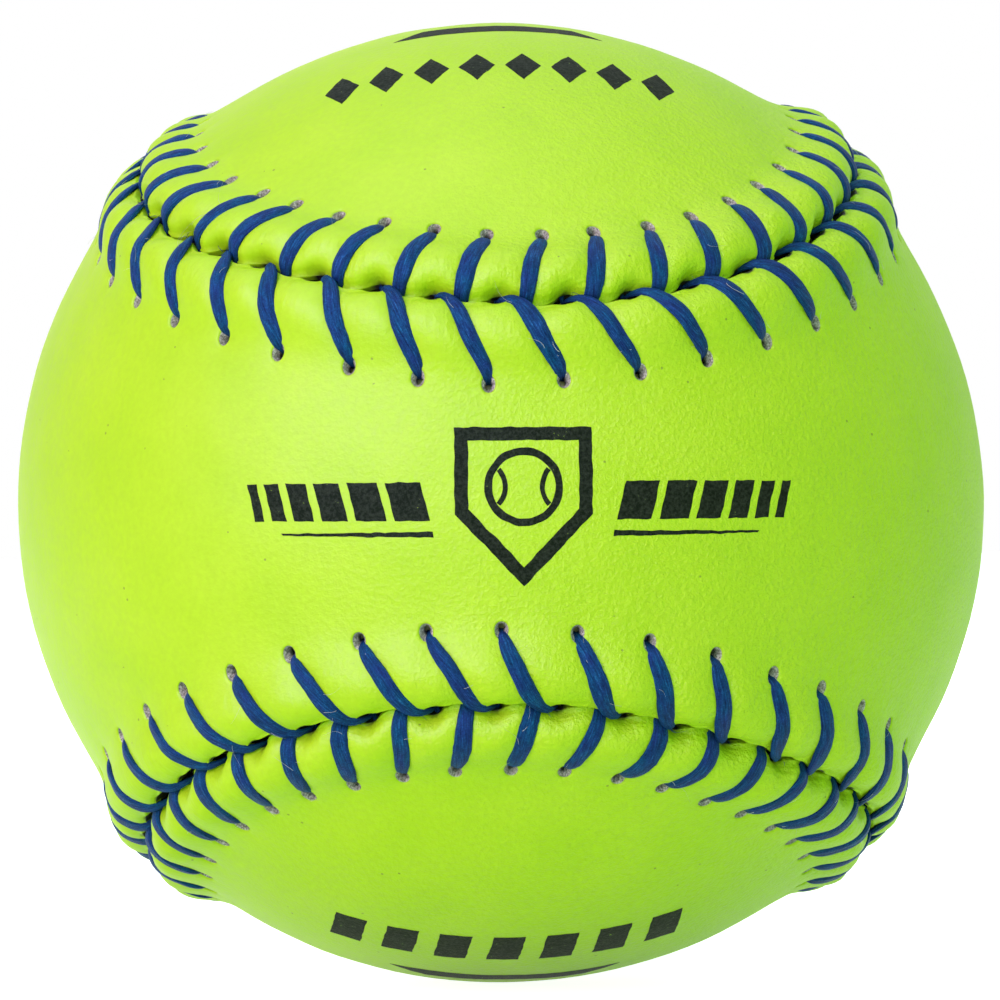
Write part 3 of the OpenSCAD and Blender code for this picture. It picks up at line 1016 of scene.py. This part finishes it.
fibres = Net()
add_fibres(fibres, 280, (0.3, 7.6), (0.5, 2.2), (0.013, 0.024), (0.25, 0.6), 1.0, 0)
add_fibres(fibres, 110, (-0.4, 0.6), (0.4, 1.1), (0.02, 0.045), (0.0, 0.4), 1.6, 1)
fibre_piece = new_object("stray_fibres", fibres.mesh("stray_fibres"), lint_material(), blue_thread)
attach(fibre_piece, "root")


# The stage: a white floor that keeps the ball's shadow, and light

def seen_directly(tree):
    """1 for the rays that should show a white background, else 0."""
    path = node(tree, "LightPath").outputs
    seen = maths(tree, "MAXIMUM", path["Is Camera Ray"], path["Is Glossy Ray"])
    return maths(tree, "MAXIMUM", seen, path["Is Transmission Ray"])


FLOOR_HALF = 3.0
FLOOR_Z = -BALL_R * MM - 0.0002
FLOOR_GLOW = 0.9
floor_mesh = bpy.data.meshes.new("floor")
corners = [(x * FLOOR_HALF, y * FLOOR_HALF, FLOOR_Z)
           for x, y in ((-1, -1), (1, -1), (1, 1), (-1, 1))]
floor_mesh.from_pydata(corners, [], [(0, 1, 2, 3)])
floor_material, tree, shader = new_material("floor", Base_Color=(0.82, 0.95, 0.82, 1), Roughness=0.9)
strength = maths(tree, "MULTIPLY", seen_directly(tree), FLOOR_GLOW)
glow = node(tree, "Emission", {"Color": (1, 1, 1, 1), "Strength": strength})
both = node(tree, "AddShader", {0: shader.outputs[0], 1: glow.outputs[0]})
tree.links.new(both.outputs[0], tree.nodes["Material Output"].inputs["Surface"])
new_object("floor", floor_mesh, floor_material)

FILL_DARK = (0.17, 0.39, 0.25)
FILL_BRIGHT = (0.21, 0.45, 0.35)
FILL_FROM = Vector((0.0, 0.0, 1.0))
world = bpy.data.worlds.new("studio")
bpy.context.scene.world = world
world.use_nodes = True
tree = world.node_tree
tree.nodes.clear()
looking = node(tree, "TexCoord").outputs["Generated"]
towards = node(tree, "VectorMath", {0: looking, 1: FILL_FROM}, operation="DOT_PRODUCT").outputs["Value"]
towards = maths(tree, "MULTIPLY_ADD", towards, 0.5, 0.5)
ambient = node(tree, "Background", {"Color": mix(tree, towards, FILL_DARK, FILL_BRIGHT), "Strength": 1.0})
white = node(tree, "Background", {"Color": (1, 1, 1, 1), "Strength": 1.0})
sky = node(tree, "MixShader", {0: seen_directly(tree), 1: ambient.outputs[0], 2: white.outputs[0]})
node(tree, "OutputWorld", {"Surface": sky.outputs[0]})


def add_lamp(name, direction, distance, size, watts, colour, matt=True, gloss=True):
    """A square lamp aimed at the ball, which may leave out the matt or the glossy part."""
    lamp = bpy.data.lights.new(name, "AREA")
    lamp.size = size
    lamp.energy = watts
    lamp.color = colour
    obj = bpy.data.objects.new(name, lamp)
    bpy.context.scene.collection.objects.link(obj)
    direction = Vector(direction).normalized()
    obj.location = direction * distance
    obj.rotation_euler = direction.to_track_quat("Z", "Y").to_euler()
    obj.visible_diffuse = matt
    obj.visible_glossy = gloss


KEY_FROM = (-0.61, -0.69, 0.39)
FRONT_FROM = (-0.1, -0.97, 0.21)
TOP_FROM = (0.25, -0.1, 0.96)
BACK_FROM = (-0.08, 0.96, 0.26)
SHEEN_FROM = (-0.45, -0.82, 0.36)
TOP_SHEEN_FROM = (-0.2, -0.15, 0.95)
add_lamp("key", KEY_FROM, 1.2, 0.95, 9.6, (1.0, 0.55, 0.9))
add_lamp("front_fill", FRONT_FROM, 1.4, 0.6, 3.1, (0.75, 1.0, 0.4))
add_lamp("top_fill", TOP_FROM, 1.4, 1.2, 5.5, (1.0, 0.95, 0.8))
add_lamp("back_fill", BACK_FROM, 1.3, 0.6, 4.6, (1.0, 0.62, 0.8), gloss=False)
add_lamp("sheen", SHEEN_FROM, 1.3, 1.3, 50.0, (0.3, 0.25, 1.0), matt=False)
add_lamp("top_sheen", TOP_SHEEN_FROM, 1.6, 1.8, 23.0, (0.4, 0.4, 1.0), matt=False)

# The camera, 12.8 ball radii in front, turned to the ball by a fraction of a degree
CAMERA_DISTANCE = 12.8 * BALL_R * MM
FOCAL_PX = 6150.0
PHOTO_PX = 1000.0
SENSOR_MM = 36.0
BALL_PX = (499.5, 501.5)
TILT = (math.radians(0.30), math.radians(-0.42), math.radians(0.59))
turned = (Matrix.Rotation(TILT[2], 3, "Z") @ Matrix.Rotation(TILT[1], 3, "Y")
          @ Matrix.Rotation(TILT[0], 3, "X"))
right, forward, up = turned
camera = bpy.data.cameras.new("camera")
camera.sensor_width = SENSOR_MM
camera.lens = FOCAL_PX / PHOTO_PX * SENSOR_MM
camera.shift_x = (PHOTO_PX / 2 - BALL_PX[0]) / PHOTO_PX
camera.shift_y = (BALL_PX[1] - PHOTO_PX / 2) / PHOTO_PX
camera.clip_start = 0.01
camera_object = bpy.data.objects.new("camera", camera)
bpy.context.scene.collection.objects.link(camera_object)
facing = Matrix((right, up, -forward)).transposed().to_4x4()
camera_object.matrix_world = Matrix.Translation(-CAMERA_DISTANCE * forward) @ facing
bpy.context.scene.camera = camera_object
bpy.context.scene.view_settings.view_transform = "Standard"

bpy.context.view_layer.update()
